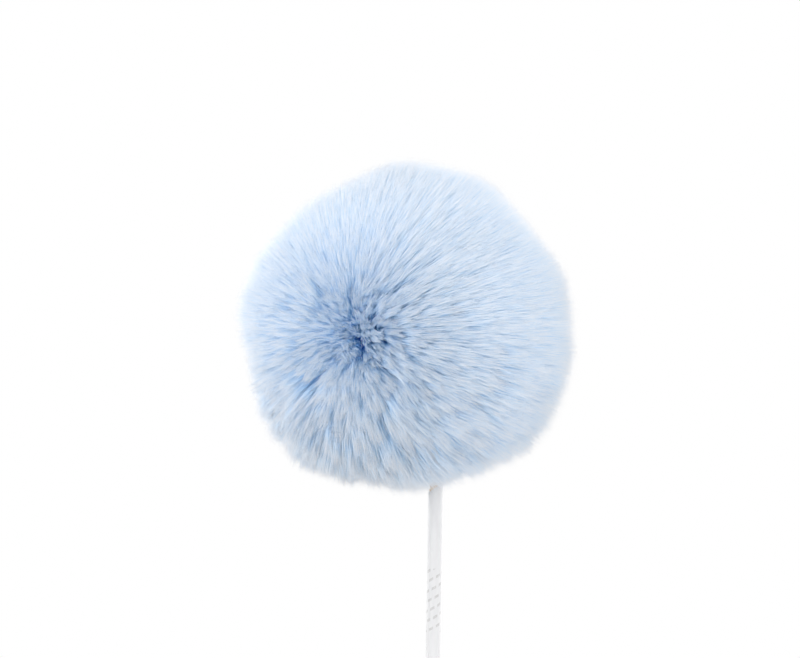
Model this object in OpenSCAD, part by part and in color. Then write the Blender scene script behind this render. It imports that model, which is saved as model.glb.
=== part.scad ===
// A round furry windscreen on a slim stem. A cover of long-pile fur is drawn over a foam core,
// and the core's socket pushes onto a wooden dowel that a white paper wrap covers.
// The origin is on the stem's axis at the shoulder of its spigot, with +Z up along the stem.

/* [Stem] */
// Length of the dowel from the spigot's shoulder to its tip
stem_len = 175; // [160:1:220]
// Diameter of the wooden dowel
dowel_d = 5.4; // [4.6:0.1:6.4]
// Depth of the shoulder where the dowel is turned down to its spigot
spigot_step = 0.2; // [0.1:0.05:0.5]
// Length of the spigot at the foot
spigot_len = 25; // [15:1:40]
// Chamfer on the dowel's tip
tip_chamfer = 0.6; // [0.2:0.1:1]
// Thickness of the paper wrapped round the dowel
wrap_t = 0.3; // [0.2:0.05:0.6]
// Slant of the wrap's upper end, in degrees
wrap_slant = 38; // [0:1:45]
// Bare dowel between the wrap's upper end and the lowest fur
bare_wood = 3.5; // [0:0.5:6]

/* [Fur cover] */
// Diameter of the fur ball's body before it is trimmed, past which loose tips stand 2 to 3 mm
ball_d = 140; // [132:1:165]
// Sideways distance from the stem's axis to the middle of the ball
ball_shift = 13; // [0:0.5:16]
// Height of the stem's tip above the middle of the ball
tip_rise = 8; // [4:0.5:12]
// Depth of a full flat that the shears leave on the ball
trim_depth = 6; // [1:0.5:8]
// Gap between the foam core and the cover's backing
cover_gap = 0.3; // [0.2:0.05:1]
// Thickness of the knitted backing that carries the pile
backing_t = 1.2; // [1:0.1:2]
// Diameter of the thread that joins the gores
seam_d = 0.7; // [0.4:0.1:0.8]
// Diameter of the patch that covers the gores' tips
crown_d = 18; // [10:1:24]
// Diameter of the elastic cord in the hem
elastic_d = 2.5; // [1.5:0.1:3.5]
// Thickness of the binding sewn round the elastic
binding_t = 0.8; // [0.5:0.1:1.2]
// Diameter of a hem stitch
stitch_d = 0.6; // [0.4:0.1:0.8]
// Length of a hem stitch
stitch_len = 2.6; // [1.5:0.1:4]
// Gap between the stem and the fur that parts around it
fur_part = 1.2; // [0.5:0.1:3]

/* [Foam core] */
// Diameter of the foam core
core_d = 72; // [66:1:84]
// Height of the straight part below the dome
core_straight = 30; // [24:1:34]
// Chamfer on the foam's lower edge
core_chamfer = 5; // [2:0.5:7]
// Diameter of the air chamber round the stem's tip
chamber_d = 26; // [20:1:32]
// Thickness of the base disc glued under the foam
base_t = 2; // [1.5:0.1:3]
// Diameter of the base disc
base_d = 58; // [52:1:62]

/* [Socket and bush] */
// Wall of the rubber bush that grips the dowel
bush_wall = 1.8; // [1.2:0.1:2.4]
// Length of the bush above its flange
bush_len = 38; // [28:1:42]
// Thickness of the bush's flange
bush_flange_t = 2; // [1.5:0.1:3]
// How far the bush's flange stands out past the socket's bore
bush_flange_out = 2.9; // [2:0.1:3.2]
// Depth of the relief between the bush's grip ribs
rib_depth = 0.4; // [0.2:0.1:0.8]
// Width of one grip rib
rib_w = 4; // [2:0.5:6]
// How far the bush's snap bead stands out
bead_out = 0.4; // [0.3:0.05:0.6]
// Width of the snap bead
bead_w = 2; // [1.5:0.1:3]
// Wall of the socket tube
socket_wall = 1.9; // [1.4:0.1:2.6]
// How far the socket's flange stands out past the tube
flange_out = 4.5; // [3:0.1:6]
// Thickness of the socket's flange
flange_t = 1.5; // [1:0.1:2.5]
// How far the lip under the neck stands out past the tube
lip_out = 1.5; // [1:0.1:2]
// Thickness of the lip
lip_t = 1.5; // [1:0.1:2.5]
// Thickness of the cap on the socket
cap_t = 2; // [1.2:0.1:3]
// Depth of the cap's plug inside the tube
plug_h = 2; // [1.2:0.1:3]
// Diameter of one sound hole in the cap
sound_hole_d = 1.6; // [1:0.1:2]

/* [Fits] */
// Running clearance on a turning or sliding fit, on the radius
run_fit = 0.05; // [0.02:0.01:0.1]
// Gap at a glued or sewn seat
glue_gap = 0.1; // [0.05:0.05:0.2]
// Gap between a soft piece and its neighbour
soft_gap = 0.3; // [0.2:0.05:0.6]
// Gap between the stem's tip and the cap that stops it
seat_gap = 0.2; // [0.1:0.05:0.5]

/* [Hidden] */
$fn = 96;
gore_count = 6;
stitch_count = 24;
rib_count = 3;
sound_hole_count = 6;
// Cuts run past the faces that they open by this much
cut = 1;
// The first seam's angle, so that no seam faces the front
seam_start = 10;
// Flats left by the shears: azimuth, elevation and share of the full depth
FLATS = [
    [0, 38, 1.15], [0, 8, 0.8], [0, -12, 0.65], [0, 76, 0.5], [180, 88, 0.35], [180, 62, 1.1],
    [180, 42, 0.95], [180, 22, 0.45], [180, -15, 0.7], [180, -82, 1.15], [0, -72, 1.2], [0, -38, 0.4],
    [300, 24, 0.5], [238, -32, 0.6], [62, 30, 0.7], [118, -8, 0.6], [75, -45, 0.7]
];

// Radii, from the dowel outwards
dowel_r = dowel_d / 2;
spigot_r = dowel_r - spigot_step;
wrap_r = dowel_r + wrap_t;
grip_r = dowel_r + run_fit;
bush_r = grip_r + bush_wall;
bore_r = bush_r + run_fit;
tube_r = bore_r + socket_wall;
flange_r = tube_r + flange_out;
lip_r = tube_r + lip_out;
bush_flange_r = bore_r + bush_flange_out;
elastic_r = elastic_d / 2;
hem_r = elastic_r + glue_gap + binding_t;
hem_ring_r = tube_r + soft_gap + hem_r;
pocket_r = max(hem_ring_r + hem_r, lip_r, bush_flange_r) + soft_gap;
part_r = wrap_r + fur_part;
core_r = core_d / 2;
cavity_r = core_r + cover_gap;
sleeve_r = cavity_r + backing_t;
seam_r = seam_d / 2;
seam_ring_r = cavity_r + backing_t / 2;
crown_r = crown_d / 2;
ball_r = ball_d / 2;

// Heights, from the stem's tip downwards
stop_z = stem_len + seat_gap;
tube_top_z = stop_z + plug_h;
ball_z = stem_len - tip_rise;
foam_bottom_z = ball_z - core_straight;
base_bottom_z = foam_bottom_z - base_t;
flange_bottom_z = base_bottom_z - flange_t;
skirt_top_z = flange_bottom_z - soft_gap;
skirt_under_z = skirt_top_z - backing_t;
hem_z = skirt_under_z - glue_gap - hem_r;
neck_bottom_z = hem_z - hem_r - soft_gap;
lip_bottom_z = neck_bottom_z - lip_t;
bush_flange_z = lip_bottom_z - glue_gap;
bush_bottom_z = bush_flange_z - bush_flange_t;
bush_top_z = bush_flange_z + bush_len;
bead_z = bush_top_z - 2 * bead_w;
fur_bottom_z = ball_z - ball_r + trim_depth;
wrap_top_z = fur_bottom_z - bare_wood;

// Shapes that several pieces share

// Moves to the middle of the fur ball
module at_ball() {
    translate([-ball_shift, 0, ball_z]) children();
}

// An upright round bar between two heights
module bar(r, low, high) {
    translate([0, 0, low]) cylinder(r = r, h = high - low);
}

// A domed plug: a half ball on a straight cylinder, about the ball's middle
module bullet(r, straight) {
    rotate_extrude() {
        intersection() {
            circle(r);
            square(r);
        }
        translate([0, -straight]) square([r, straight]);
    }
}

// The fur ball with the flats that its shears left
module trimmed_ball() {
    difference() {
        sphere(ball_r);
        for (flat = FLATS)
            rotate([0, 90 - flat[1], flat[0]])
                translate([0, 0, ball_r - flat[2] * trim_depth])
                    cylinder(r = ball_r, h = ball_r);
    }
}

// The hollow of the cover: the core's room, and below it the skirt's room
module cover_hollow() {
    bullet(cavity_r, ball_z - skirt_top_z);
    bar(sleeve_r, -ball_d, skirt_top_z - ball_z);
}

// One seam's run: over the dome from the crown patch, then down the straight wall
module seam_run(r) {
    from_crown = asin((crown_r + 2 * seam_d) / seam_ring_r);
    rotate([90, 0, 0])
        rotate_extrude(angle = 90 - from_crown)
            translate([seam_ring_r, 0]) circle(r);
    translate([seam_ring_r, 0, 0]) bar(r, skirt_top_z - ball_z + soft_gap, 0);
}

// The room that the crown patch takes, or the patch itself
module crown_room(r, outer) {
    intersection() {
        difference() {
            sphere(outer);
            sphere(cavity_r);
        }
        bar(r, 0, ball_d);
    }
}

// Stem

// The wooden stick, turned down at its foot to a spigot
module stem_dowel() {
    color("burlywood") {
        bar(spigot_r, -spigot_len, 0);
        bar(dowel_r, 0, stem_len - tip_chamfer);
        translate([0, 0, stem_len - tip_chamfer])
            cylinder(r1 = dowel_r, r2 = dowel_r - tip_chamfer, h = tip_chamfer);
    }
}

// The white paper wrap, cut at a slant just under the fur
module stem_wrap() {
    color("white")
        difference() {
            bar(wrap_r, 0, wrap_top_z + 2 * wrap_r);
            bar(dowel_r, -cut, wrap_top_z + 2 * wrap_r + cut);
            translate([0, 0, wrap_top_z])
                rotate([0, -wrap_slant, 0])
                    cylinder(r = 4 * wrap_r, h = 6 * wrap_r);
        }
}

// Socket and bush

// The rubber sleeve that grips the dowel with its ribs and turns in the socket
module grip_bush() {
    rib_step = (bush_top_z - bush_bottom_z - rib_w) / (rib_count - 1);
    relief_h = rib_step - rib_w;
    color("dimgray")
        difference() {
            union() {
                bar(bush_r, bush_bottom_z, bush_top_z);
                bar(bush_flange_r, bush_bottom_z, bush_flange_z);
                bar(bush_r + bead_out, bead_z, bead_z + bead_w);
            }
            bar(grip_r, bush_bottom_z - cut, bush_top_z + cut);
            for (i = [0 : rib_count - 2])
                translate([0, 0, bush_bottom_z + rib_w + i * rib_step])
                    cylinder(r = grip_r + rib_depth, h = relief_h);
        }
}

// The tube that the bush turns in, with its flange, its neck for the hem and the lip below that
module socket_tube() {
    color("ivory")
        difference() {
            union() {
                bar(tube_r, lip_bottom_z, tube_top_z);
                bar(flange_r, flange_bottom_z, base_bottom_z);
                bar(lip_r, lip_bottom_z, neck_bottom_z);
            }
            bar(bore_r, lip_bottom_z - cut, tube_top_z + cut);
            bar(bore_r + bead_out, bead_z - glue_gap, bead_z + bead_w + glue_gap);
        }
}

// The cap that stops the stem's tip, drilled to let sound through
module socket_cap() {
    hole_ring_r = bore_r / 2;
    color("ivory")
        difference() {
            union() {
                bar(tube_r, tube_top_z, tube_top_z + cap_t);
                bar(bore_r - run_fit, stop_z, tube_top_z);
            }
            for (i = [0 : sound_hole_count - 1])
                rotate([0, 0, i * 360 / sound_hole_count])
                    translate([hole_ring_r, 0, 0])
                        bar(sound_hole_d / 2, stop_z - cut, tube_top_z + cap_t + cut);
        }
}

// Foam core

// The disc glued under the foam, held on the tube by the flange
module base_disc() {
    color("gainsboro")
        difference() {
            translate([-ball_shift, 0, 0]) bar(base_d / 2, base_bottom_z, foam_bottom_z);
            bar(tube_r + glue_gap, base_bottom_z - cut, foam_bottom_z + cut);
        }
}

// The whole core: dome, straight wall, chamfered lower edge, the tube's bore and the air chamber
module foam_core() {
    difference() {
        at_ball()
            difference() {
                bullet(core_r, core_straight);
                rotate_extrude()
                    polygon([
                        [core_r + cut, -core_straight + core_chamfer + cut],
                        [core_r + cut, -core_straight - cut],
                        [core_r - core_chamfer - cut, -core_straight - cut]
                    ]);
            }
        bar(tube_r + glue_gap, foam_bottom_z - cut, stem_len);
        translate([0, 0, stem_len]) sphere(chamber_d / 2);
    }
}

// The half below the air chamber's middle
module foam_lower() {
    color("lightgray")
        intersection() {
            foam_core();
            translate([-ball_shift, 0, 0]) bar(core_d, foam_bottom_z - cut, stem_len);
        }
}

// The half above it
module foam_upper() {
    color("silver")
        intersection() {
            foam_core();
            translate([-ball_shift, 0, 0]) bar(core_d, stem_len, ball_z + core_d);
        }
}

// Fur cover

// The patch inside the crown, where the gores' tips meet
module crown_patch() {
    color("lightsteelblue") at_ball() crown_room(crown_r, sleeve_r);
}

// The threads that join the gores
module gore_seams() {
    color("steelblue")
        at_ball()
            for (i = [0 : gore_count - 1])
                rotate([0, 0, seam_start + i * 360 / gore_count]) seam_run(seam_r);
}

// One gore of fur, from its backing to the tips of its pile
module fur_gore(i) {
    gore_angle = 360 / gore_count;
    color("lightblue")
        at_ball()
            intersection() {
                difference() {
                    trimmed_ball();
                    cover_hollow();
                    crown_room(crown_r + glue_gap, sleeve_r + glue_gap);
                    for (side = [i - 1, i])
                        rotate([0, 0, seam_start + side * gore_angle]) seam_run(seam_r + glue_gap);
                }
                rotate([0, 0, seam_start + (i - 1) * gore_angle])
                    rotate_extrude(angle = gore_angle)
                        translate([0, -ball_d]) square([ball_d, 2 * ball_d]);
            }
}

// The fur gathered under the core, parted around the hem and the stem
module fur_skirt() {
    color("lightblue")
        difference() {
            at_ball()
                intersection() {
                    trimmed_ball();
                    bar(sleeve_r, -ball_d, skirt_top_z - ball_z);
                }
            bar(hem_ring_r, skirt_under_z - cut, skirt_top_z + cut);
            bar(pocket_r, bush_bottom_z - soft_gap, skirt_under_z);
            bar(part_r, fur_bottom_z - ball_d, skirt_top_z);
        }
}

// The binding rolled round the elastic, drawn in around the socket's neck
module hem_binding() {
    color("slategray")
        translate([0, 0, hem_z])
            rotate_extrude()
                translate([hem_ring_r, 0])
                    difference() {
                        circle(hem_r);
                        circle(elastic_r + glue_gap);
                    }
}

// The elastic cord inside the binding
module hem_elastic() {
    color("whitesmoke")
        translate([0, 0, hem_z])
            rotate_extrude()
                translate([hem_ring_r, 0]) circle(elastic_r);
}

// The stitches that hold the gathers, laid on the skirt's backing
module hem_stitches() {
    color("steelblue")
        for (i = [0 : stitch_count - 1])
            rotate([0, 0, i * 360 / stitch_count])
                translate([flange_r + soft_gap, 0, skirt_top_z + stitch_d / 2])
                    rotate([0, 90, 0])
                        cylinder(d = stitch_d, h = stitch_len);
}

stem_dowel();
stem_wrap();
grip_bush();
socket_tube();
socket_cap();
base_disc();
foam_lower();
foam_upper();
crown_patch();
gore_seams();
fur_gore(1);  // fur_gore_1
fur_gore(2);  // fur_gore_2
fur_gore(3);  // fur_gore_3
fur_gore(4);  // fur_gore_4
fur_gore(5);  // fur_gore_5
fur_gore(6);  // fur_gore_6
fur_skirt();
hem_binding();
hem_elastic();
hem_stitches();
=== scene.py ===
import functools
import math
import bmesh
import bpy
import numpy as np
from mathutils import Matrix, Vector
from mathutils.bvhtree import BVHTree
from mathutils.kdtree import KDTree


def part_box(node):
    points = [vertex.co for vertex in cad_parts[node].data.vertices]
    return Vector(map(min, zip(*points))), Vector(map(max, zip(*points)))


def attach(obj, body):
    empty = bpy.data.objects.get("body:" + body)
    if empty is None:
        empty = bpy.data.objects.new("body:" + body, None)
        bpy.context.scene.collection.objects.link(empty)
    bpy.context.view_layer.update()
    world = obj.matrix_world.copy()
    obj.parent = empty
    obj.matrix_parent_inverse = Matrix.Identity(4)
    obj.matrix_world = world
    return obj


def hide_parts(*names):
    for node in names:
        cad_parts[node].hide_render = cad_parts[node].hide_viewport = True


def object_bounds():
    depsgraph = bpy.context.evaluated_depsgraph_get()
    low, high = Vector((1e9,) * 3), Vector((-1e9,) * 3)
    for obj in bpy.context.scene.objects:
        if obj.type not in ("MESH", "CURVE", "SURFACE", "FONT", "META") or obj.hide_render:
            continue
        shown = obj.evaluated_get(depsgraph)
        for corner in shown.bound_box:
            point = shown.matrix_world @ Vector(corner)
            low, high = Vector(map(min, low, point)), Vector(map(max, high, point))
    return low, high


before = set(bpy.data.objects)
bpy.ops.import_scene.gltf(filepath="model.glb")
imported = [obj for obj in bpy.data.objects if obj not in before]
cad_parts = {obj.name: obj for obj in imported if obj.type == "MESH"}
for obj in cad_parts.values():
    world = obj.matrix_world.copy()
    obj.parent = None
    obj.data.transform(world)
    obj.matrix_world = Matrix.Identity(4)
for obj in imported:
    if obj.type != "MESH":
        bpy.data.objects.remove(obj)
cad_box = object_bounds()

# The dowel. A birch stick that is rolled round and turned down at its foot to a spigot.
# Its long grain shows on the spigot and where the paper wrap leaves it bare.
MM = 0.001


def new_material(name, roughness):
    """A material, its nodes, its links and its Principled shader."""
    material = bpy.data.materials.new(name)
    material.use_nodes = True
    tree = material.node_tree
    shader = tree.nodes["Principled BSDF"]
    shader.inputs["Roughness"].default_value = roughness
    return material, tree.nodes, tree.links, shader


def new_group(name, inputs, outputs):
    """An empty shader node group, with its named values going in and coming out."""
    group = bpy.data.node_groups.new(name, "ShaderNodeTree")
    for label, kind, value in inputs:
        socket = group.interface.new_socket(name=label, in_out="INPUT", socket_type=kind)
        socket.default_value = value
    for label, kind in outputs:
        group.interface.new_socket(name=label, in_out="OUTPUT", socket_type=kind)
    return group, group.nodes.new("NodeGroupInput"), group.nodes.new("NodeGroupOutput")


def mottle_group():
    """Uneven patches over a surface: noise of a set size, drawn out along the axes, from Low to High."""
    group, given, made = new_group(
        "mottle",
        [("Patch size", "NodeSocketFloat", MM), ("Draw out", "NodeSocketVector", (1, 1, 1)),
         ("Low", "NodeSocketFloat", 0.0), ("High", "NodeSocketFloat", 1.0)],
        [("Value", "NodeSocketFloat")])
    nodes, links = group.nodes, group.links
    place = nodes.new("ShaderNodeTexCoord")
    drawn = nodes.new("ShaderNodeVectorMath")
    drawn.operation = "DIVIDE"
    sized = nodes.new("ShaderNodeVectorMath")
    sized.operation = "SCALE"
    often = nodes.new("ShaderNodeMath")
    often.operation = "DIVIDE"
    often.inputs[0].default_value = 1.0
    noise = nodes.new("ShaderNodeTexNoise")
    noise.inputs["Scale"].default_value = 1.0
    noise.inputs["Detail"].default_value = 3.0
    spread = nodes.new("ShaderNodeMapRange")
    spread.inputs["From Min"].default_value = 0.3
    spread.inputs["From Max"].default_value = 0.7
    links.new(place.outputs["Object"], drawn.inputs[0])
    links.new(given.outputs["Draw out"], drawn.inputs[1])
    links.new(given.outputs["Patch size"], often.inputs[1])
    links.new(drawn.outputs["Vector"], sized.inputs[0])
    links.new(often.outputs["Value"], sized.inputs["Scale"])
    links.new(sized.outputs["Vector"], noise.inputs["Vector"])
    links.new(noise.outputs["Fac"], spread.inputs["Value"])
    links.new(given.outputs["Low"], spread.inputs["To Min"])
    links.new(given.outputs["High"], spread.inputs["To Max"])
    links.new(spread.outputs["Result"], made.inputs["Value"])
    return group


mottle = mottle_group()


def add_mottle(nodes, size, low=0.0, high=1.0, draw_out=(1, 1, 1)):
    """Places the mottle group in a material and gives its value's socket."""
    node = nodes.new("ShaderNodeGroup")
    node.node_tree = mottle
    node.inputs["Patch size"].default_value = size
    node.inputs["Draw out"].default_value = draw_out
    node.inputs["Low"].default_value = low
    node.inputs["High"].default_value = high
    return node.outputs["Value"]


def add_ramp(nodes, links, value, stops):
    """A colour ramp over a value's socket: stops are pairs of place and colour."""
    ramp = nodes.new("ShaderNodeValToRGB")
    while len(ramp.color_ramp.elements) < len(stops):
        ramp.color_ramp.elements.new(0.5)
    for element, (position, colour) in zip(ramp.color_ramp.elements, stops):
        element.position = position
        element.color = (*colour, 1)
    links.new(value, ramp.inputs["Fac"])
    return ramp.outputs["Color"]


def add_bump(nodes, links, shader, height, depth):
    """Raises the surface by a height's socket, to this depth in metres."""
    bump = nodes.new("ShaderNodeBump")
    bump.inputs["Strength"].default_value = 1.0
    bump.inputs["Distance"].default_value = depth
    links.new(height, bump.inputs["Height"])
    links.new(bump.outputs["Normal"], shader.inputs["Normal"])


def dress(node, material):
    """Gives a CAD node its material."""
    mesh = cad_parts[node].data
    mesh.materials.clear()
    mesh.materials.append(material)


def birch():
    """Straw-coloured wood with long grain and small flecks."""
    material, nodes, links, shader = new_material("birch", 0.62)
    grain = add_mottle(nodes, 0.45 * MM, draw_out=(1, 1, 30))
    colour = add_ramp(nodes, links, grain, [(0.0, (0.50, 0.33, 0.17)), (0.45, (0.66, 0.47, 0.27)),
                                            (1.0, (0.78, 0.60, 0.38))])
    links.new(colour, shader.inputs["Base Color"])
    links.new(add_mottle(nodes, 0.8 * MM, 0.52, 0.7, (1, 1, 12)), shader.inputs["Roughness"])
    add_bump(nodes, links, shader, add_mottle(nodes, 0.2 * MM, draw_out=(1, 1, 40)), 0.05 * MM)
    return material


dress("stem_dowel", birch())

# The paper wrap. White paper rolled once round the dowel and glued along its lap, cut at a slant under
# the fur. Short slanted dashes in pale grey are printed on a stretch of it.
wrap_low, wrap_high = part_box("stem_wrap")
wrap_r = wrap_high.y
wrap_slant = math.tan(math.radians(38))
lap_degrees = (150, 232)
lap_lift = 0.10 * MM
lap_edge_lift = 0.02 * MM
lap_inset = 0.2 * MM
lap_thickness = 0.12 * MM
dash_band = (38 * MM, 65 * MM)
dash_pitch = 4.2 * MM
dash_width = 1.2 * MM
dash_rise = math.tan(math.radians(28))
dash_row_shift = 1.3 * MM
dash_step = 3.1 * MM
dash_length = 1.9 * MM


def link_grid(rows, columns, round_rows=False, start=0):
    """Faces of a grid of points, whose rows close to rings if round_rows is set."""
    across = columns if round_rows else columns - 1
    return [[start + r * columns + c, start + r * columns + (c + 1) % columns,
             start + (r + 1) * columns + (c + 1) % columns, start + (r + 1) * columns + c]
            for r in range(rows - 1) for c in range(across)]


def add_piece(name, mesh):
    """An object for a mesh, in the scene."""
    piece = bpy.data.objects.new(name, mesh)
    bpy.context.scene.collection.objects.link(piece)
    return piece


def cloth_mesh(name, grid, thickness, round_rows=False, flat=None):
    """A thin closed sheet: the grid of points, its back a thickness behind it, and a rim between them."""
    rows, columns = grid.shape[:2]
    if round_rows:
        turned = np.concatenate([grid[:, -1:], grid, grid[:, :1]], 1)
        across = np.gradient(turned, axis=1)[:, 1:-1]
    else:
        across = np.gradient(grid, axis=1)
    facing = np.cross(across, np.gradient(grid, axis=0))
    facing /= np.maximum(np.linalg.norm(facing, axis=2, keepdims=True), 1e-12)
    corners = np.concatenate([grid.reshape(-1, 3), (grid - facing * thickness).reshape(-1, 3)])
    back = rows * columns
    faces = link_grid(rows, columns, round_rows)
    faces += [[back + i for i in reversed(face)] for face in link_grid(rows, columns, round_rows)]
    rims = [list(range(columns)), [(rows - 1) * columns + c for c in reversed(range(columns))]]
    if round_rows:
        rims = [rim + rim[:1] for rim in rims]
    else:
        rims.append([r * columns for r in reversed(range(rows))])
        rims.append([r * columns + columns - 1 for r in range(rows)])
    for rim in rims:
        faces += [[b, a, back + a, back + b] for a, b in zip(rim, rim[1:])]
    mesh = bpy.data.meshes.new(name)
    mesh.from_pydata(corners.tolist(), [], faces)
    mesh.polygons.foreach_set("use_smooth", np.ones(len(faces), bool))
    if flat is not None:
        spots = np.concatenate([flat.reshape(-1, 2), flat.reshape(-1, 2)])
        turn = np.zeros(len(mesh.loops), np.int32)
        mesh.loops.foreach_get("vertex_index", turn)
        mesh.uv_layers.new(name="cut").data.foreach_set("uv", spots[turn].astype(np.float32).ravel())
    mesh.update()
    return add_piece(name, mesh)


def fit(piece, body, material, slot, *nodes):
    """Gives a piece its material and the body it rides on, and hides the CAD nodes it stands for. The slot
    is not used.
    """
    piece.data.materials.append(material)
    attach(piece, body)
    if nodes:
        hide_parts(*nodes)


def add_step(nodes, links, operation, first, second=0.0):
    """One step of reckoning in a material, on values or sockets, and the socket of its result."""
    node = nodes.new("ShaderNodeMath")
    node.operation = operation
    for socket, value in zip(node.inputs, (first, second)):
        if isinstance(value, float):
            socket.default_value = value
        else:
            links.new(value, socket)
    return node.outputs["Value"]


def wrap_paper():
    """White paper: faint fibres, and a band of short slanted dashes in pale grey."""
    material, nodes, links, shader = new_material("wrap_paper", 0.55)
    step = functools.partial(add_step, nodes, links)
    place = nodes.new("ShaderNodeTexCoord")
    split = nodes.new("ShaderNodeSeparateXYZ")
    links.new(place.outputs["Object"], split.inputs["Vector"])
    round_way = step("MULTIPLY", step("ARCTAN2", split.outputs["Y"], split.outputs["X"]), wrap_r)
    climb = step("SUBTRACT", split.outputs["Z"], step("MULTIPLY", round_way, dash_rise))
    in_row = step("LESS_THAN", step("FLOORED_MODULO", climb, dash_pitch), dash_width)
    row = step("FLOOR", step("DIVIDE", climb, dash_pitch))
    break_way = step("ADD", round_way, step("MULTIPLY", row, dash_row_shift))
    in_dash = step("LESS_THAN", step("FLOORED_MODULO", break_way, dash_step), dash_length)
    in_band = step("MULTIPLY", step("GREATER_THAN", split.outputs["Z"], dash_band[0]),
                   step("LESS_THAN", split.outputs["Z"], dash_band[1]))
    printed = step("MULTIPLY", step("MULTIPLY", in_row, in_dash), in_band)
    worn = step("MULTIPLY", printed, add_mottle(nodes, 0.5 * MM, 0.35, 1.0))
    paper = add_ramp(nodes, links, add_mottle(nodes, 2.5 * MM, draw_out=(1, 1, 3)),
                     [(0.0, (0.63, 0.63, 0.64)), (1.0, (0.68, 0.68, 0.685))])
    ink = nodes.new("ShaderNodeMix")
    ink.data_type = "RGBA"
    ink.inputs["B"].default_value = (0.47, 0.465, 0.46, 1)
    links.new(worn, ink.inputs["Factor"])
    links.new(paper, ink.inputs["A"])
    links.new(ink.outputs["Result"], shader.inputs["Base Color"])
    links.new(add_mottle(nodes, 1.2 * MM, 0.48, 0.62), shader.inputs["Roughness"])
    add_bump(nodes, links, shader, add_mottle(nodes, 0.18 * MM), 0.012 * MM)
    return material


def wrap_lap():
    """The lap: the last turn of the paper, whose edge runs down the stick as a small step."""
    turns = np.radians(np.linspace(*lap_degrees, 19))
    rows = 60
    lift = np.full(len(turns), lap_lift)
    lift[0] = lap_edge_lift
    lift[-1] = lap_edge_lift
    x = (wrap_r + lift) * np.cos(turns)
    y = (wrap_r + lift) * np.sin(turns)
    top = wrap_high.z - wrap_r * wrap_slant + x * wrap_slant - lap_inset
    share = np.linspace(0, 1, rows)[:, None]
    height = wrap_low.z + lap_inset + share * (top - wrap_low.z - lap_inset)[None, :]
    grid = np.stack([np.tile(x, (rows, 1)), np.tile(y, (rows, 1)), height], 2)
    return cloth_mesh("wrap_lap", grid, lap_thickness)


paper = wrap_paper()
dress("stem_wrap", paper)
fit(wrap_lap(), "stem", paper, "wrap")

# The grip bush. Soft black rubber, moulded, with ribs inside that grip the dowel and a bead that snaps into
# the socket. A dull bloom and fine mould marks cover it.


def moulded(name, dark, light, roughness, grain, depth):
    """A moulded finish: two close shades in soft patches, a dull skin and fine mould texture."""
    material, nodes, links, shader = new_material(name, roughness)
    colour = add_ramp(nodes, links, add_mottle(nodes, 4 * MM), [(0.0, dark), (1.0, light)])
    links.new(colour, shader.inputs["Base Color"])
    links.new(add_mottle(nodes, 2 * MM, roughness - 0.08, roughness + 0.08), shader.inputs["Roughness"])
    add_bump(nodes, links, shader, add_mottle(nodes, grain), depth)
    return material


rubber = moulded("bush_rubber", (0.018, 0.018, 0.020), (0.034, 0.034, 0.037), 0.72, 0.25 * MM, 0.03 * MM)
dress("grip_bush", rubber)

# The socket. A moulded ivory tube in which the bush turns, with a flange for the base disc, a neck for
# the hem and a lip below it. A drilled cap of the same plastic is pressed into its top.
ivory = moulded("socket_plastic", (0.58, 0.57, 0.53), (0.66, 0.65, 0.61), 0.42, 0.35 * MM, 0.015 * MM)
dress("socket_tube", ivory)
dress("socket_cap", ivory)

# The base disc. Pale grey plastic, punched from sheet.
# It is glued under the foam, on the socket's flange.
sheet_plastic = moulded("base_plastic", (0.44, 0.45, 0.46), (0.52, 0.53, 0.54), 0.5, 0.5 * MM, 0.02 * MM)
dress("base_disc", sheet_plastic)

# The foam core. Two halves of charcoal open-cell foam, cut to a dome and hollowed for the socket and the
# air chamber, then glued together. The knife opens the cells, so every cut face is pitted.
dice = np.random.default_rng(11)
cell = 0.8 * MM
pit_step = 1.5 * MM
pit_depth = 0.42 * MM
pit_r = 0.62 * pit_step
pore = 0.7 * MM


def foam_half(node):
    """The solid's shape in an even skin of cells, with a pit pressed in at each open one."""
    skin = bmesh.new()
    skin.from_mesh(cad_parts[node].data)
    bmesh.ops.remove_doubles(skin, verts=skin.verts, dist=0.001 * MM)
    solid = bpy.data.meshes.new(node + "_solid")
    skin.to_mesh(solid)
    skin.free()
    piece = add_piece(node + "_cells", solid)
    even = piece.modifiers.new("even", "REMESH")
    even.mode = "VOXEL"
    even.voxel_size = cell
    graph = bpy.context.evaluated_depsgraph_get()
    mesh = bpy.data.meshes.new_from_object(piece.evaluated_get(graph))
    piece.modifiers.clear()
    piece.data = mesh
    points = np.array([v.co for v in mesh.vertices])
    normals = np.array([v.normal for v in mesh.vertices])
    pits = dice.choice(len(points), int(len(points) * (cell / pit_step) ** 2), replace=False)
    tree = KDTree(len(pits))
    for order, pit in enumerate(pits):
        tree.insert(points[pit], order)
    tree.balance()
    near = np.array([tree.find(point)[2] for point in points])
    depth = pit_depth * np.clip(1 - (near / pit_r) ** 2, 0, 1)
    mesh.vertices.foreach_set("co", (points - normals * depth[:, None]).astype(np.float32).ravel())
    mesh.polygons.foreach_set("use_smooth", np.ones(len(mesh.polygons), bool))
    mesh.update()
    return piece


def open_foam():
    """Charcoal foam: pores darkened with painted shade between paler cell walls, with no gloss."""
    material, nodes, links, shader = new_material("open_foam", 0.95)
    shader.inputs["Specular IOR Level"].default_value = 0.15
    place = nodes.new("ShaderNodeTexCoord")
    pores = nodes.new("ShaderNodeTexVoronoi")
    pores.inputs["Scale"].default_value = 1 / pore
    links.new(place.outputs["Object"], pores.inputs["Vector"])
    # The pores' darker colour is painted shade in the pits that the bump below presses in.
    colour = add_ramp(nodes, links, pores.outputs["Distance"], [(0.0, (0.012, 0.013, 0.014)),
                                                                (0.35, (0.030, 0.031, 0.034)),
                                                                (0.75, (0.062, 0.064, 0.070))])
    links.new(colour, shader.inputs["Base Color"])
    add_bump(nodes, links, shader, pores.outputs["Distance"], 0.25 * MM)
    return material


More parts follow.
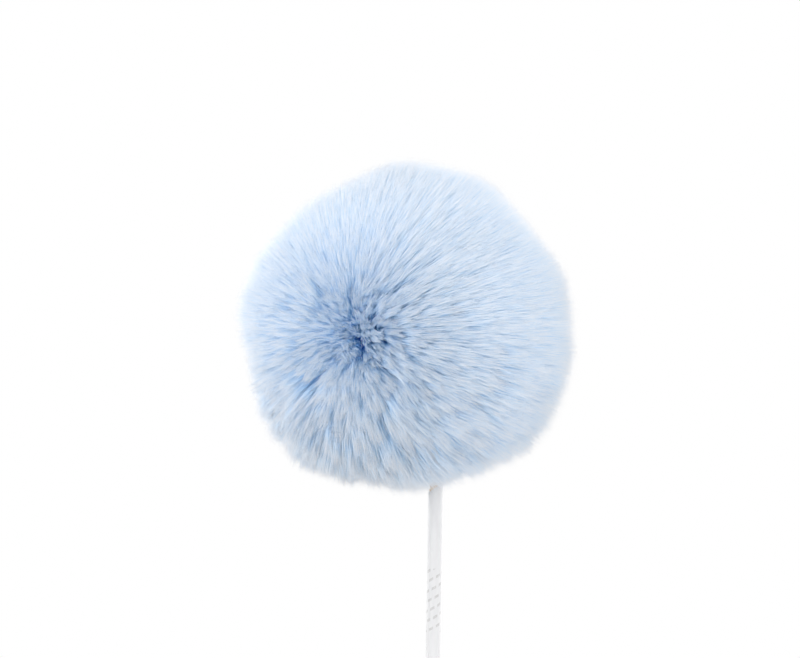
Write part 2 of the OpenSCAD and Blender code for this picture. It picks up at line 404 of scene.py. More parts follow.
foam = open_foam()
for node in ("foam_lower", "foam_upper"):
    half = foam_half(node)
    fit(half, "core", foam, "foam", node)

# The cover's backing. A fine blue knit that carries the pile: six gores over the dome and down the wall,
# a patch behind their tips, and a skirt that the hem draws in under the core.
core_low, core_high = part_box("foam_lower")
core_r = (core_high.x - core_low.x) / 2
ball_middle = np.array([(core_low.x + core_high.x) / 2, 0.0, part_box("foam_upper")[1].z - core_r])
crown_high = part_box("crown_patch")[1]
crown_r = crown_high.y
backing_r = crown_high.z - ball_middle[2]
backing_t = 0.8 * MM
skirt_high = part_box("fur_skirt")[1].z
pleat_count = 24
pleat_spare = 1.05
hem_low, hem_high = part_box("hem_binding")
hem_r = (hem_high.z - hem_low.z) / 2
hem_ring_r = hem_high.x - hem_r
gore_count = 6
gore_angle = 2 * math.pi / gore_count
seam_start = math.radians(10)
seam_gap = 0.5 * MM
wale = 1.1 * MM
course = 0.85 * MM
cover_parts = {}


def knit():
    """Blue knit: columns of small slanted loops, with painted light on top of each loop and painted shade
    between them.
    """
    material, nodes, links, shader = new_material("knit", 0.85)
    shader.inputs["Sheen Weight"].default_value = 0.3
    step = functools.partial(add_step, nodes, links)
    place = nodes.new("ShaderNodeUVMap")
    place.uv_map = "cut"
    split = nodes.new("ShaderNodeSeparateXYZ")
    links.new(place.outputs["UV"], split.inputs["Vector"])
    column = step("PINGPONG", step("DIVIDE", split.outputs["X"], wale), 0.5)
    slanted = step("ADD", step("DIVIDE", split.outputs["Y"], course), step("MULTIPLY", column, 1.3))
    loop = step("PINGPONG", slanted, 0.5)
    height = step("MULTIPLY", step("SINE", step("MULTIPLY", column, 2 * math.pi)),
                  step("ADD", step("MULTIPLY", loop, 1.2), 0.4))
    # The colour follows the loops' height: painted light on their tops, painted shade low between them.
    colour = add_ramp(nodes, links, height, [(0.0, (0.16, 0.30, 0.56)), (0.5, (0.30, 0.50, 0.80)),
                                             (1.0, (0.44, 0.64, 0.90))])
    links.new(colour, shader.inputs["Base Color"])
    add_bump(nodes, links, shader, height, 0.3 * MM)
    return material


def gore_backing(number):
    """One gore: over the dome from the crown patch to the widest place, then straight down the wall."""
    start = seam_start + number * gore_angle
    from_crown = math.asin((crown_r + seam_gap) / backing_r)
    rise = np.linspace(math.pi / 2 - from_crown, 0, 28)
    drop = np.linspace(0, ball_middle[2] - skirt_high, 19)[1:]
    ring = np.concatenate([np.cos(rise), np.ones(len(drop))]) * backing_r
    height = np.concatenate([np.sin(rise) * backing_r, -drop])
    along = np.concatenate([(rise[0] - rise) * backing_r, (rise[0] - rise[-1]) * backing_r + drop])
    share = np.linspace(0, 1, 25)
    turn = start + seam_gap / ring[:, None] + share[None, :] * (gore_angle - 2 * seam_gap / ring[:, None])
    pucker = 0.25 * MM * np.exp(-(np.minimum(share, 1 - share) / 0.06) ** 2)[None, :]
    pucker = pucker * (0.5 + 0.5 * np.sin(along / (1.6 * MM)))[:, None]
    radius = ring[:, None] - pucker
    grid = np.stack([ball_middle[0] + radius * np.cos(turn), radius * np.sin(turn),
                     np.tile(ball_middle[2] + height[:, None], (1, len(share)))], 2)
    flat = np.stack([ring[:, None] * (turn - start), np.tile(along[:, None], (1, len(share)))], 2)
    piece = cloth_mesh("fur_gore_%d_backing" % (number + 1), grid[:, ::-1], backing_t, flat=flat[:, ::-1])
    area = float(np.sum((ring[1:] + ring[:-1]) / 2 * np.diff(along))) * gore_angle
    return piece, (gore_angle * backing_r, float(along[-1])), area


def crown_backing():
    """The patch: a small domed disc of the same knit behind the gores' tips."""
    ring = np.linspace(0.4 * MM, crown_r - 0.2 * MM, 9)[:, None]
    turn = np.linspace(0, 2 * math.pi, 48, endpoint=False)[None, :]
    grid = np.stack([ball_middle[0] + ring * np.cos(turn), ring * np.sin(turn),
                     np.tile(ball_middle[2] + np.sqrt(backing_r ** 2 - ring ** 2), (1, turn.shape[1]))], 2)
    flat = np.stack([ring * np.cos(turn), ring * np.sin(turn)], 2)
    return cloth_mesh("crown_patch_knit", grid[:, ::-1], backing_t, round_rows=True, flat=flat[:, ::-1])


def skirt_backing():
    """The skirt: a ring of knit under the core, smooth outside and gathered in pleats at the hem."""
    share = np.linspace(0, 1, 30)[:, None]
    turn = np.linspace(0, 2 * math.pi, 240, endpoint=False)[None, :]
    inner = np.stack([hem_ring_r * np.cos(turn), hem_ring_r * np.sin(turn)], 2)
    outer_r = backing_r - seam_gap
    outer = np.stack([ball_middle[0] + outer_r * np.cos(turn), outer_r * np.sin(turn)], 2)
    spots = inner * (1 - share[..., None]) + outer * share[..., None]
    out = np.linalg.norm(spots, axis=2)
    pleat = 0.15 * MM + 1.3 * MM * np.exp(-((out - hem_high.x - 4 * MM) / (5 * MM)) ** 2)
    pleat = pleat * (out > hem_high.x + 0.2 * MM)
    height = skirt_high - 0.1 * MM - backing_t - pleat * (0.5 + 0.5 * np.cos(pleat_count * turn))
    grid = np.concatenate([spots, height[..., None]], 2)
    piece = cloth_mesh("fur_skirt_backing", grid, backing_t, round_rows=True, flat=spots)
    widest = float(backing_r + abs(ball_middle[0]) - hem_ring_r)
    area = math.pi * (backing_r ** 2 - hem_ring_r ** 2) * pleat_spare
    return piece, (2 * math.pi * backing_r, widest), area


knitted = knit()
for number in range(gore_count):
    node = "fur_gore_%d" % (number + 1)
    cover_parts[node] = gore_backing(number)
    fit(cover_parts[node][0], "cover", knitted, "backing", node)
cover_parts["fur_skirt"] = skirt_backing()
fit(cover_parts["fur_skirt"][0], "cover", knitted, "backing", "fur_skirt")
crown = crown_backing()
fit(crown, "cover", knitted, "backing", "crown_patch")

# The gore seams. Blue two-ply thread, twisted.
# A run of it goes down between each pair of gores and joins them.
thread_r = 0.19 * MM
ply_turn = 1.7 * MM
cover_gap = 0.3 * MM
seam_end = 1.4 * MM


def tubes(name, paths, outward, radius, sides=6):
    """One mesh of round closed tubes along paths, each with as many points."""
    count, points = paths.shape[:2]
    run = np.gradient(paths, axis=1)
    run /= np.linalg.norm(run, axis=2, keepdims=True)
    first = np.cross(outward, run)
    first /= np.linalg.norm(first, axis=2, keepdims=True)
    second = np.cross(run, first)
    turn = np.linspace(0, 2 * math.pi, sides, endpoint=False)
    side = (np.cos(turn)[None, None, :, None] * first[:, :, None]
            + np.sin(turn)[None, None, :, None] * second[:, :, None])
    corners = (paths[:, :, None] + side * radius).reshape(-1, 3)
    faces = []
    for tube in range(count):
        start = tube * points * sides
        end = start + (points - 1) * sides
        faces += link_grid(points, sides, True, start)
        faces += [[start + i for i in reversed(range(sides))], [end + i for i in range(sides)]]
    mesh = bpy.data.meshes.new(name)
    mesh.from_pydata(corners.tolist(), [], faces)
    mesh.polygons.foreach_set("use_smooth", np.ones(len(faces), bool))
    mesh.update()
    return add_piece(name, mesh)


def even_steps(path, step):
    """Points along a path, evenly spaced by about this step."""
    lengths = np.concatenate([[0], np.cumsum(np.linalg.norm(np.diff(path, axis=0), axis=1))])
    spots = np.linspace(0, lengths[-1], max(int(lengths[-1] / step), 4))
    return np.stack([np.interp(spots, lengths, path[:, axis]) for axis in range(3)], 1)


def two_plies(path, outward):
    """Two strands wound round a path, and the way out for each of their points."""
    run = np.gradient(path, axis=0)
    run /= np.linalg.norm(run, axis=1, keepdims=True)
    side = np.cross(run, outward)
    side /= np.linalg.norm(side, axis=1, keepdims=True)
    up = np.cross(side, run)
    far = np.concatenate([[0], np.cumsum(np.linalg.norm(np.diff(path, axis=0), axis=1))])
    plies = []
    for half in (0, math.pi):
        angle = 2 * math.pi * far / ply_turn + half
        plies.append(path + thread_r * 0.85 * (np.cos(angle)[:, None] * side + np.sin(angle)[:, None] * up))
    return plies, up


def sewing_thread():
    """Twisted thread: fine fibres in two close blues."""
    material, nodes, links, shader = new_material("sewing_thread", 0.6)
    shader.inputs["Sheen Weight"].default_value = 0.2
    colour = add_ramp(nodes, links, add_mottle(nodes, 0.3 * MM), [(0.0, (0.10, 0.20, 0.42)),
                                                                  (1.0, (0.20, 0.36, 0.62))])
    links.new(colour, shader.inputs["Base Color"])
    add_bump(nodes, links, shader, add_mottle(nodes, 0.12 * MM), 0.03 * MM)
    return material


def seam_threads():
    """Six runs of twisted thread, over the dome and down the wall."""
    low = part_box("gore_seams")[0]
    paths, ways = [], []
    seam_r = (backing_r + core_r + cover_gap) / 2
    from_crown = math.asin((crown_r + seam_end) / seam_r)
    rise = np.linspace(math.pi / 2 - from_crown, 0, 40)
    ring = np.append(np.cos(rise), 1.0) * seam_r
    height = np.append(np.sin(rise) * seam_r, low.z - ball_middle[2])
    for seam in range(gore_count):
        angle = seam_start + seam * gore_angle
        way = np.array([math.cos(angle), math.sin(angle), 0.0])
        path = ball_middle + ring[:, None] * way + height[:, None] * np.array([0, 0, 1.0])
        path = even_steps(path, ply_turn / 10)
        out = path - ball_middle
        out[:, 2] = np.maximum(out[:, 2], 0)
        plies, up = two_plies(path, out / np.linalg.norm(out, axis=1, keepdims=True))
        paths += plies
        ways += [up, up]
    return tubes("gore_seam_threads", np.array(paths), np.array(ways), thread_r)


thread = sewing_thread()
fit(seam_threads(), "cover", thread, "thread", "gore_seams")

# The hem. A knitted binding rolled round a braided elastic cord, gathered tight under the core and held
# to the skirt by a ring of stitches. It sits in the socket's neck above the lip.
hem_z = (hem_low.z + hem_high.z) / 2
elastic_low, elastic_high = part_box("hem_elastic")
elastic_r = (elastic_high.z - elastic_low.z) / 2
gathers = 30
strand_r = 0.26 * MM
stitch_count = 24
stitch_length = 2.6 * MM
stitch_rise = 0.28 * MM


def hem_tube():
    """The binding: a tube of cloth drawn into gathers all round the ring."""
    turn = np.linspace(0, 2 * math.pi, gathers * 10, endpoint=False)[None, :]
    round_tube = np.linspace(0, 2 * math.pi, 33)[:, None]
    crease = 0.5 + 0.5 * np.cos(gathers * turn + 0.9 * np.sin(round_tube + 3 * turn))
    radius = hem_r - 0.05 * MM - 0.32 * MM * crease ** 2
    ring = hem_ring_r + radius * np.cos(round_tube)
    grid = np.stack([ring * np.cos(turn), ring * np.sin(turn), hem_z + radius * np.sin(round_tube)], 2)
    flat = np.stack([np.tile(turn * hem_ring_r, (len(round_tube), 1)),
                     np.tile(round_tube * hem_r, (1, turn.shape[1]))], 2)
    return cloth_mesh("hem_binding_cloth", grid, 0.3 * MM, round_rows=True, flat=flat)


def braided_cord():
    """The elastic: eight strands that cross over and under round the cord's core."""
    turns = 9
    way = np.linspace(0, 2 * math.pi, turns * 40)
    paths, ways = [], []
    for hand in (1, -1):
        for strand in range(4):
            around = hand * turns * way + strand * math.pi / 2
            radius = elastic_r - 0.36 * MM + hand * 0.1 * MM * np.cos(4 * turns * way)
            ring = hem_ring_r + radius * np.cos(around)
            height = hem_z + radius * np.sin(around)
            paths.append(np.stack([ring * np.cos(way), ring * np.sin(way), height], 1))
            out = np.cos(around)
            ways.append(np.stack([out * np.cos(way), out * np.sin(way), np.sin(around)], 1))
    return tubes("hem_elastic_braid", np.array(paths), np.array(ways), strand_r)


def hem_stitching():
    """The stitches: short loops of twisted thread over the skirt's inner side."""
    low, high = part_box("hem_stitches")
    stitch = np.linspace(0, 1, 40)
    start = high.x - stitch_length
    paths, ways = [], []
    for number in range(stitch_count):
        angle = 2 * math.pi * number / stitch_count
        out = np.array([math.cos(angle), math.sin(angle), 0.0])
        reach = start + stitch * (high.x - start)
        height = low.z + 0.1 * MM + stitch_rise * np.sin(math.pi * stitch)
        path = reach[:, None] * out + height[:, None] * np.array([0, 0, 1.0])
        plies, up = two_plies(path, np.tile([0.0, 0.0, 1.0], (len(stitch), 1)))
        paths += plies
        ways += [up, up]
    return tubes("hem_stitch_threads", np.array(paths), np.array(ways), thread_r * 0.8)


def braid():
    """White elastic braid: soft patches and a faint sheen."""
    material, nodes, links, shader = new_material("elastic_braid", 0.65)
    colour = add_ramp(nodes, links, add_mottle(nodes, 0.5 * MM), [(0.0, (0.62, 0.63, 0.65)),
                                                                  (1.0, (0.76, 0.77, 0.78))])
    links.new(colour, shader.inputs["Base Color"])
    shader.inputs["Sheen Weight"].default_value = 0.15
    add_bump(nodes, links, shader, add_mottle(nodes, 0.1 * MM, draw_out=(1, 1, 2)), 0.03 * MM)
    return material


binding = hem_tube()
fit(binding, "cover", knitted, "backing", "hem_binding")
fit(braided_cord(), "cover", braid(), "elastic", "hem_elastic")
fit(hem_stitching(), "cover", thread, "thread", "hem_stitches")

# The fur pile. Long blue fibres stand on the knit, bend over with the nap and end in points: fine guard
# hair on the outside and shorter, denser hair under it. They cling in small clumps and larger locks,
# and the nap parts at a whorl.
fur_nodes = ["fur_gore_%d" % i for i in range(1, gore_count + 1)] + ["fur_skirt"]
lock_count = 900
clump_count = 15000
whorl = np.array([-0.62, -0.78, -0.05])
whorl = whorl / np.linalg.norm(whorl)
# How far the nap leans at angles in degrees from the whorl. Below 0 it leans back towards it.
nap_angles = [0, 16, 45, 72, 88, 110, 150, 168, 180]
nap_leans = [0, 0.27, 0.8, 1.35, 0.9, 0.1, -0.4, -0.15, 0]
nap_most = 0.9
loose_width = math.radians(38)
least_reach = 61 * MM
droop = 2.2 * MM
stem_room_heights = [112 * MM, 124 * MM]
stem_room_radii = [3.6 * MM, 11.6 * MM]
fibre_roundness = 0.6
skirt_drop = ball_middle[2] - skirt_high + backing_t


def unit(vectors):
    """Vectors of the same directions, one long."""
    return vectors / np.linalg.norm(vectors, axis=-1, keepdims=True)


def even_directions(count):
    """Directions spread evenly over a ball, by the golden angle."""
    step = np.arange(count) + 0.5
    height = 1 - 2 * step / count
    turn = math.pi * (3 - math.sqrt(5)) * step
    ring = np.sqrt(1 - height * height)
    return np.stack([ring * np.cos(turn), ring * np.sin(turn), height], 1)


def spacing(count):
    """The angle between neighbours when so many directions share a ball."""
    return math.sqrt(4 * math.pi / count)


def side_axes(directions):
    """Two unit vectors across each direction."""
    upright = np.where(np.abs(directions[:, 2:3]) < 0.9, [[0.0, 0.0, 1.0]], [[1.0, 0.0, 0.0]])
    first = unit(np.cross(directions, upright))
    return first, np.cross(directions, first)


def scattered(directions, angle):
    """Each direction, moved sideways by a random angle of about this size."""
    first, second = side_axes(directions)
    shift = dice.normal(size=(len(directions), 2)) * angle
    return unit(directions + shift[:, :1] * first + shift[:, 1:] * second)


def fur_surface():
    """A tree of the solids that hold the fur, and the node that each of its faces belongs to."""
    corners, faces, owner = [], [], []
    for number, name in enumerate(fur_nodes):
        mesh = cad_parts[name].data
        start = len(corners)
        corners += [v.co.copy() for v in mesh.vertices]
        faces += [[start + i for i in p.vertices] for p in mesh.polygons]
        owner += [number] * len(mesh.polygons)
    return BVHTree.FromPolygons(corners, faces), owner


def reach_of(directions, blur, rays):
    """How far the fur reaches about each direction, on average, and the node it belongs to."""
    tree, owner = fur_surface()
    middle = Vector(ball_middle)
    first, second = side_axes(directions)
    reach = np.zeros(len(directions))
    node = np.full(len(directions), len(fur_nodes) - 1)
    for ray in range(rays):
        angle = 2 * math.pi * ray / (rays - 1)
        size = blur if ray else 0.0
        lines = unit(directions + size * (math.cos(angle) * first + math.sin(angle) * second))
        for i, direction in enumerate(lines):
            line = Vector(direction)
            spot, _, face, _ = tree.ray_cast(middle + line * 0.2, -line)
            reach[i] += max((spot - middle).length, least_reach) if spot else least_reach
            if ray == 0 and spot:
                node[i] = owner[face]
    return reach / rays, node


def backing_point(directions):
    """Where a line from the ball's middle meets the backing: dome, straight wall or flat skirt."""
    flat = np.linalg.norm(directions[:, :2], axis=1)
    down = np.maximum(-directions[:, 2], 1e-6)
    wall = backing_r / np.maximum(flat, 1e-6)
    skirt = skirt_drop / down
    distance = np.where(directions[:, 2] >= 0, backing_r, np.minimum(wall, skirt))
    return ball_middle + directions * distance[:, None]


def clear_of_stem(points):
    """Moves the fur out of the room that the hem, the bush and the stem take."""
    height = points[..., 2]
    room = np.interp(height, stem_room_heights, stem_room_radii)
    flat = np.linalg.norm(points[..., :2], axis=-1)
    push = np.where(height < skirt_high, np.maximum(room / np.maximum(flat, 1e-6), 1.0), 1.0)
    moved = points.copy()
    moved[..., :2] *= push[..., None]
    return moved


def angle_from_whorl(directions):
    """The angle in degrees between each direction and the whorl."""
    return np.degrees(np.arccos(np.clip(directions @ whorl, -1, 1)))


def nap_lean(directions):
    """The way the nap lies: away from the whorl, and round the back away from the place opposite it."""
    along = directions @ whorl
    away = unit(directions * along[:, None] - whorl + 1e-6)
    flow = nap_most * np.interp(angle_from_whorl(directions), nap_angles, nap_leans)
    return away * flow[:, None]


loose_place = unit(np.array([0.42, -0.82, -0.38]))


def loose_part(directions):
    """How far each direction is in the looser fur low on the right: 1 in its middle and 0 outside it."""
    return np.interp(directions @ loose_place, [math.cos(loose_width), 1], [0, 1])


def calmer_above(directions, least):
    """1 on the lower part of the ball, falling to this least value on its upper part."""
    return np.interp(directions[:, 2], [0.05, 0.35], [1.0, least])


locks = scattered(even_directions(lock_count), spacing(lock_count) * 0.3)
clumps = scattered(even_directions(clump_count), spacing(clump_count) * 0.35)
lock_of = np.argmax(clumps @ locks.T, axis=1)
clump_reach, clump_node = reach_of(clumps, 0.09, 7)
clump_reach = clump_reach - droop * clumps[:, 2]
# Locks are unruly at the whorl, underneath and in the loose part: their lengths and leans differ more.
ruffle = np.interp(angle_from_whorl(locks), [0, 25, 45, 110], [1.5, 1.3, 0.6, 0.4])
ruffle = ruffle * calmer_above(locks, 0.2) + 1.7 * np.clip(-locks[:, 2] - 0.2, 0, 1)
ruffle = ruffle + 0.9 * loose_part(locks)
lock_short = np.abs(dice.normal(size=lock_count)) * 2.0 * MM * ruffle
lock_lean = dice.normal(size=(lock_count, 3)) * 0.06 * ruffle[:, None]
lock_shade = dice.random(lock_count)
lock_pull = np.interp(angle_from_whorl(locks), [0, 40, 80], [0.08, 0.14, 0.08])
lock_pull = lock_pull + 0.16 * np.clip(-locks[:, 2] * 1.4 - 0.1, 0, 1)
clump_short = np.abs(dice.normal(size=clump_count)) * 0.8 * MM * calmer_above(clumps, 0.3)
clump_short = lock_short[lock_of] + clump_short
clump_lean = lock_lean[lock_of] + dice.normal(size=(clump_count, 3)) * 0.045 * ruffle[lock_of][:, None]
clump_shade = lock_shade[lock_of] * 0.5 + dice.random(clump_count) * 0.5


def grow(fibres_in_clump, extra, uneven, cling, bend_length, parting, follow=1.0):
    """Fibres as root, bend and tip, with their shade and the node they belong to. Their shade carries
    painted shade about the whorl and in the loose part.

    Extra is how far the tips stand past the solids, and uneven how much shorter a fibre can be. Cling
    gathers fibres in their clump, parting shortens them at the whorl, and follow is the share of the
    clumps' unevenness that they keep away from it.
    """
    clump_of = np.repeat(np.arange(clump_count), fibres_in_clump)
    own = scattered(clumps[clump_of], spacing(clump_count) * 0.55)
    near = cling * np.interp(angle_from_whorl(clumps), [0, 35, 80], [1.4, 1.1, 0.3])
    near = (near * calmer_above(clumps, 0.3))[clump_of][:, None]
    heading = clumps[clump_of] * near + own * (1 - near)
    pull = lock_pull[lock_of[clump_of]] * 2 * dice.random(len(own))
    heading = unit(heading * (1 - pull[:, None]) + locks[lock_of[clump_of]] * pull[:, None])
    edge_follow = np.interp(angle_from_whorl(clumps), [25, 60], [1.0, follow])
    tip_r = clump_reach[clump_of] + extra - (clump_short * edge_follow)[clump_of]
    tip_r = tip_r - parting * np.interp(angle_from_whorl(clumps), [0, 25, 50], [1.0, 0.8, 0.0])[clump_of]
    tip_r = tip_r - np.abs(dice.normal(size=len(own))) * uneven
    tips = ball_middle + heading * tip_r[:, None]
    lean = unit(heading + nap_lean(heading) + clump_lean[clump_of] + dice.normal(size=own.shape) * 0.05)
    bends = tips - lean * bend_length
    roots = backing_point(unit(bends - ball_middle))
    shade = 0.05 + 0.3 * (clump_shade[clump_of] * 0.75 + dice.random(len(own)) * 0.25)
    # Painted shade: fibres about the whorl, where the pile parts, and a little those in the loose part low
    # on the right, are tinted deeper blue.
    shade = shade + 0.44 * np.interp(angle_from_whorl(clumps), [0, 24, 52], [1.0, 0.95, 0.0])[clump_of]
    shade = shade + 0.12 * loose_part(clumps)[clump_of]
    return np.stack([roots, bends, tips], 1), shade, clump_node[clump_of]


def fibre_mesh(name, bones, shade, places, widths):
    """One mesh of closed three-sided fibres. Its UV holds each fibre's shade and the place along it."""
    far = places[None, :, None]
    root = bones[:, None, 0]
    bend = bones[:, None, 1]
    tip = bones[:, None, 2]
    path = clear_of_stem((1 - far) ** 2 * root + 2 * far * (1 - far) * bend + far * far * tip)
    count = len(path)
    rings = len(places) - 1
    run = unit(np.gradient(path, axis=1))
    outward = unit(path - ball_middle) + np.array([0.013, -0.007, 0.017])
    first = unit(np.cross(outward, run))
    second = np.cross(run, first)
    turn = np.radians([30, 150, 270])
    side = (np.cos(turn)[None, None, :, None] * first[:, :rings, None]
            + np.sin(turn)[None, None, :, None] * second[:, :rings, None])
    ring = path[:, :rings, None] + side * (widths / 2)[None, :, None, None]
    per_fibre = rings * 3 + 1
    corners = np.concatenate([ring.reshape(count, rings * 3, 3), path[:, -1:]], 1)
    quads = link_grid(rings, 3, True)
    last = (rings - 1) * 3
    triangles = [[last + a, last + (a + 1) % 3, per_fibre - 1] for a in range(3)] + [[2, 1, 0]]
    shape = np.array(sum(quads + triangles, []))
    sizes = np.array([4] * len(quads) + [3] * len(triangles))
    starts = np.cumsum(sizes) - sizes
    base = np.arange(count)[:, None]
    mesh = bpy.data.meshes.new(name)
    mesh.vertices.add(count * per_fibre)
    mesh.vertices.foreach_set("co", corners.astype(np.float32).ravel())
    mesh.loops.add(count * len(shape))
    mesh.loops.foreach_set("vertex_index", (base * per_fibre + shape).astype(np.int32).ravel())
    mesh.polygons.add(count * len(sizes))
    mesh.polygons.foreach_set("loop_start", (base * len(shape) + starts).astype(np.int32).ravel())
    mesh.polygons.foreach_set("use_smooth", np.ones(count * len(sizes), bool))
    along = np.append(np.repeat(places[:rings], 3), 1.0)[shape]
    sideways = np.append(np.tile([0.0, 0.02, -0.02], rings), 0.0)[shape]
    spots = np.stack([(shade[:, None] + sideways).ravel(), np.tile(along, count)], 1)
    mesh.uv_layers.new(name="OFBake").data.foreach_set("uv", spots.astype(np.float32).ravel())
    round_way = np.concatenate([side.reshape(count, rings * 3, 3), run[:, -1:]], 1)
    facing = unit(unit(corners - ball_middle) * (1 - fibre_roundness) + round_way * fibre_roundness)
    free = mesh.attributes.new("custom_normal", "FLOAT_VECTOR", "POINT")
    free.data.foreach_set("vector", facing.astype(np.float32).ravel())
    mesh.update(calc_edges=True)
    return add_piece(name, mesh)


def hair_colour(name, stops):
    """Blue hair: deep at the root and pale at the tip, each fibre a little lighter or darker, and deeper
    blue with painted shade about the whorl and in the loose part.
    """
    material, nodes, links, shader = new_material(name, 0.65)
    shader.inputs["Specular IOR Level"].default_value = 0.15
    place = nodes.new("ShaderNodeUVMap")
    place.uv_map = "OFBake"
    split = nodes.new("ShaderNodeSeparateXYZ")
    links.new(place.outputs["UV"], split.inputs["Vector"])
    tint = nodes.new("ShaderNodeGamma")
    level = nodes.new("ShaderNodeMapRange")
    level.inputs["To Min"].default_value = 0.85
    level.inputs["To Max"].default_value = 1.75
    links.new(split.outputs["X"], level.inputs["Value"])
    links.new(level.outputs["Result"], tint.inputs["Gamma"])
    links.new(add_ramp(nodes, links, split.outputs["Y"], stops), tint.inputs["Color"])
    links.new(tint.outputs["Color"], shader.inputs["Base Color"])
    return material


root_blue = (0.03, 0.22, 0.99)
middle_blue = (0.18, 0.50, 1.0)
pale_blue = (0.45, 0.72, 1.0)
tip_blue = (0.81, 0.895, 1.0)
fringe_tip_blue = (0.91, 0.945, 1.0)
pile_tip_blue = (0.66, 0.83, 1.0)

# Each layer has its name, its fibres, its colour, the places of its rings and tip along a fibre, and the
# fibre's width at those rings.
layers = [
    ("fringe",
     grow(5, extra=6.7 * MM, uneven=2.8 * MM, cling=0.5, bend_length=27 * MM, parting=0.0, follow=0.55),
     hair_colour("fringe_hair", [(0.28, root_blue), (0.5, middle_blue), (0.68, pale_blue),
                                 (0.93, fringe_tip_blue)]),
     np.array([0.0, 0.8, 1.0]), np.array([0.13, 0.17]) * MM),
    ("guard",
     grow(8, extra=5.3 * MM, uneven=1.8 * MM, cling=0.55, bend_length=26 * MM, parting=0.0),
     hair_colour("guard_hair", [(0.28, root_blue), (0.5, middle_blue), (0.68, pale_blue),
                                (0.95, tip_blue)]),
     np.array([0.0, 0.8, 1.0]), np.array([0.16, 0.21]) * MM),
    ("pile",
     grow(8, extra=3.2 * MM, uneven=1.8 * MM, cling=0.4, bend_length=24 * MM, parting=2.2 * MM),
     hair_colour("pile_hair", [(0.28, root_blue), (0.5, middle_blue), (0.72, pale_blue),
                               (1.0, pile_tip_blue)]),
     np.array([0.0, 0.8, 1.0]), np.array([0.22, 0.27]) * MM),
    ("under",
     grow(5, extra=0.2 * MM, uneven=2.5 * MM, cling=0.3, bend_length=22 * MM, parting=3.0 * MM),
     hair_colour("under_hair", [(0.30, root_blue), (0.58, middle_blue), (0.85, pale_blue)]),
     np.array([0.0, 0.6, 1.0]), np.array([0.26, 0.32]) * MM),
]
for number, node in enumerate(fur_nodes):
    for layer, (bones, shade, owner), colour, places, widths in layers:
        mine = np.flatnonzero(owner == number)
        hair = fibre_mesh("%s_%s_hair" % (node, layer), bones[mine], shade[mine], places, widths)
        fit(hair, "cover", colour, "fur", node)

# The stage. A pale painted floor that fades into a white surround, and six round soft lamps: one above,
# one in front, one on each side and two behind. The camera is at the height of the ball's middle.
floor_r = 0.6
floor_grey = 0.77
floor_fade = (0.08, 0.32)
surround_white = 1.0
surround_light = 0.9


def shown_ray(nodes, links):
    """1 for rays that show the white: the camera's, and those seen in gloss or through glass."""
    ray = nodes.new("ShaderNodeLightPath")
    total = ray.outputs["Is Camera Ray"]
    for kind in ("Is Glossy Ray", "Is Transmission Ray"):
        add = nodes.new("ShaderNodeMath")
        add.use_clamp = True
        links.new(total, add.inputs[0])
        links.new(ray.outputs[kind], add.inputs[1])
        total = add.outputs["Value"]
    return total


def floor_disc():
    """A round pale floor. Towards its rim the camera sees the surround's white in place of it."""
    turns = np.linspace(0, 2 * math.pi, 64, endpoint=False)
    mesh = bpy.data.meshes.new("floor")
    mesh.from_pydata([(floor_r * math.cos(a), floor_r * math.sin(a), cad_box[0][2]) for a in turns], [],
                     [list(range(len(turns)))])
    material, nodes, links, shader = new_material("floor_paint", 0.8)
    shader.inputs["Base Color"].default_value = (floor_grey, floor_grey, floor_grey, 1)
    place = nodes.new("ShaderNodeNewGeometry")
    far = nodes.new("ShaderNodeVectorMath")
    far.operation = "LENGTH"
    fade = nodes.new("ShaderNodeMapRange")
    fade.interpolation_type = "SMOOTHSTEP"
    fade.inputs["From Min"].default_value = floor_fade[0]
    fade.inputs["From Max"].default_value = floor_fade[1]
    seen = nodes.new("ShaderNodeMath")
    seen.operation = "MULTIPLY"
    white = nodes.new("ShaderNodeEmission")
    white.inputs["Strength"].default_value = surround_white
    both = nodes.new("ShaderNodeMixShader")
    links.new(place.outputs["Position"], far.inputs[0])
    links.new(far.outputs["Value"], fade.inputs["Value"])
    links.new(fade.outputs["Result"], seen.inputs[0])
    links.new(shown_ray(nodes, links), seen.inputs[1])
    links.new(seen.outputs["Value"], both.inputs["Fac"])
    links.new(shader.outputs["BSDF"], both.inputs[1])
    links.new(white.outputs["Emission"], both.inputs[2])
    links.new(both.outputs["Shader"], nodes["Material Output"].inputs["Surface"])
    mesh.materials.append(material)
    return add_piece("floor", mesh)


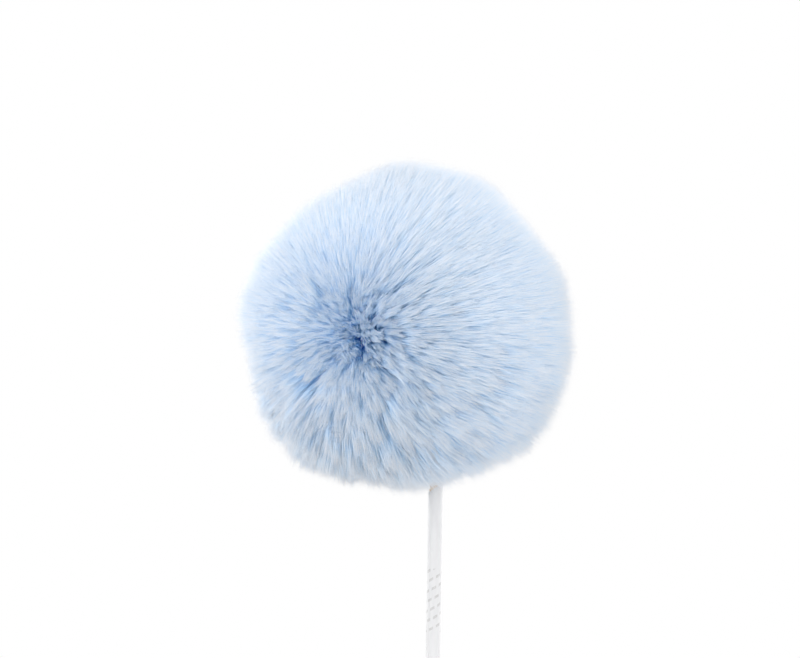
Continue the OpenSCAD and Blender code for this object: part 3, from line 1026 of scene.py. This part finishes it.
def white_surround():
    """A white room: one white for the camera, and a little less light on the object."""
    world = bpy.data.worlds.new("surround")
    world.use_nodes = True
    nodes, links = world.node_tree.nodes, world.node_tree.links
    backdrop = nodes["Background"]
    backdrop.inputs["Color"].default_value = (1, 1, 1, 1)
    seen = nodes.new("ShaderNodeMapRange")
    seen.inputs["To Min"].default_value = surround_light
    seen.inputs["To Max"].default_value = surround_white
    links.new(shown_ray(nodes, links), seen.inputs["Value"])
    links.new(seen.outputs["Result"], backdrop.inputs["Strength"])
    bpy.context.scene.world = world


def soft_lamp(name, place, size, watts):
    """A round soft lamp that looks at the ball."""
    lamp = bpy.data.lights.new(name, "AREA")
    lamp.shape = "DISK"
    lamp.size = size
    lamp.energy = watts
    holder = bpy.data.objects.new(name, lamp)
    holder.location = place
    holder.rotation_euler = (Vector(ball_middle) - Vector(place)).to_track_quat("-Z", "Y").to_euler()
    bpy.context.scene.collection.objects.link(holder)


floor_disc()
white_surround()
soft_lamp("top_lamp", (-0.1, -0.4, 1.3), 1.0, 5.4)
soft_lamp("front_lamp", (-0.25, -1.3, 0.25), 0.9, 4.8)
soft_lamp("left_lamp", (-1.1, -0.7, 0.0), 0.9, 4.0)
soft_lamp("right_lamp", (1.25, -0.2, 0.3), 0.9, 4.2)
soft_lamp("back_left_lamp", (-0.95, 0.95, 0.3), 0.9, 5.4)
soft_lamp("back_right_lamp", (0.95, 0.95, 0.3), 0.9, 5.4)

lens = 106.0
pixel = 0.4242 * MM
picture_width = 800
sensor_width = 36.0
camera_distance = picture_width * pixel * lens / sensor_width
ball_pixel = (408, 327)
middle_pixel = (400, 329)
roll = math.radians(1.0)
camera_data = bpy.data.cameras.new("camera")
camera_data.lens = lens
camera_data.sensor_width = sensor_width
camera = bpy.data.objects.new("camera", camera_data)
bpy.context.scene.collection.objects.link(camera)
aside = Vector(((ball_pixel[0] - middle_pixel[0]) * pixel, (middle_pixel[1] - ball_pixel[1]) * pixel, 0))
level_view = Matrix.Rotation(math.pi / 2, 4, "X") @ Matrix.Rotation(roll, 4, "Z")
stand = Vector(ball_middle) - Vector((0, camera_distance, 0))
camera.matrix_world = Matrix.Translation(stand) @ level_view @ Matrix.Translation(-aside)
bpy.context.scene.camera = camera
bpy.context.scene.view_settings.view_transform = "Standard"
